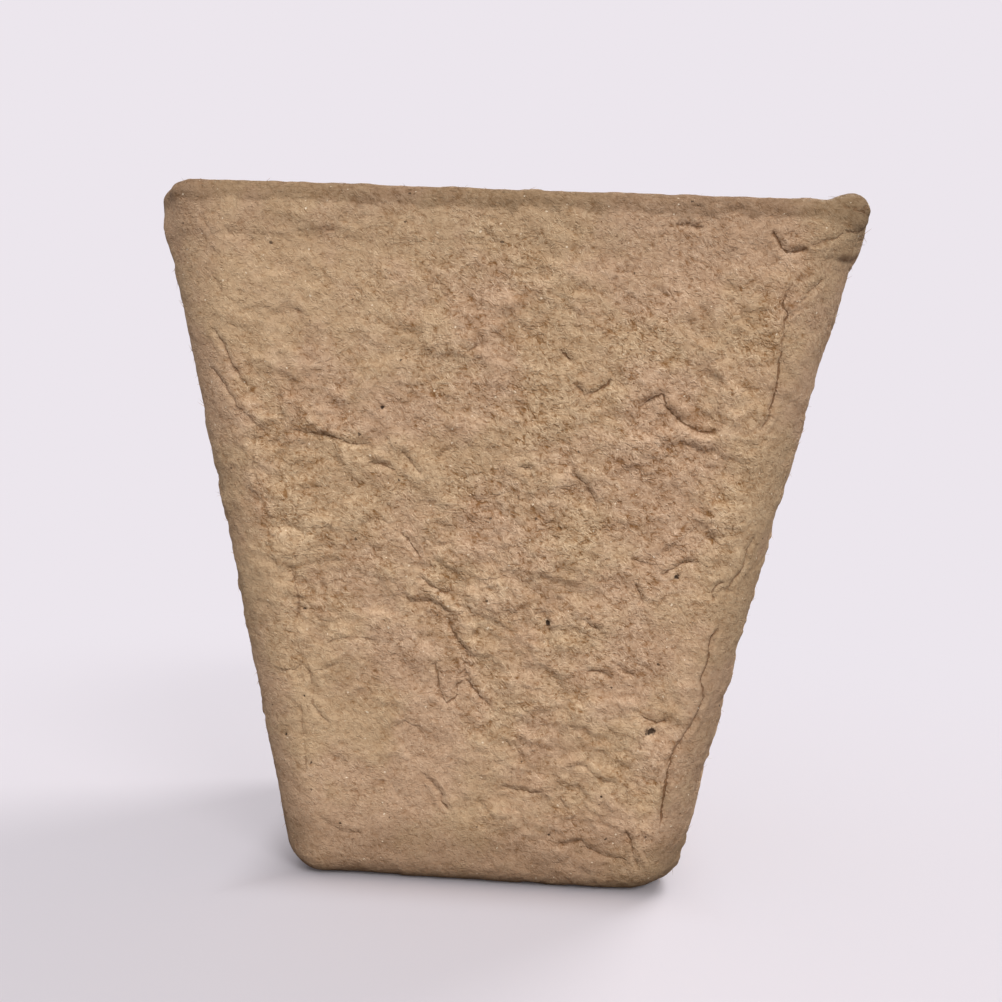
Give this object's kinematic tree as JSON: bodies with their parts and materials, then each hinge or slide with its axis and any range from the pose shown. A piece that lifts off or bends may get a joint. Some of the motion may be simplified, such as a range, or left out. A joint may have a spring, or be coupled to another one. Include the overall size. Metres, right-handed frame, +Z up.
{
  "type": "peat pot",
  "caption": "Square tapering seedling pot of pressed peat fibre, with soft upright corners, a rounded heel, a beaded rim and a drain hole in its floor.",
  "frame": {"origin": "middle of the underside, on the surface that the pot stands on", "axes": "+Z up through the mouth, -Y out of the front wall, +X to the right seen from the front"},
  "size_m": [0.08, 0.08, 0.08],
  "materials": {
    "pulp": "matt felted peat and wood fibre, tan brown"
  },
  "bodies": {
    "root": {"floor": "pulp", "heel": "pulp", "wall_front": "pulp", "wall_right": "pulp", "wall_back": "pulp", "wall_left": "pulp", "corner_front_right": "pulp", "corner_back_right": "pulp", "corner_back_left": "pulp", "corner_front_left": "pulp", "rim": "pulp"}
  },
  "joints": []
}
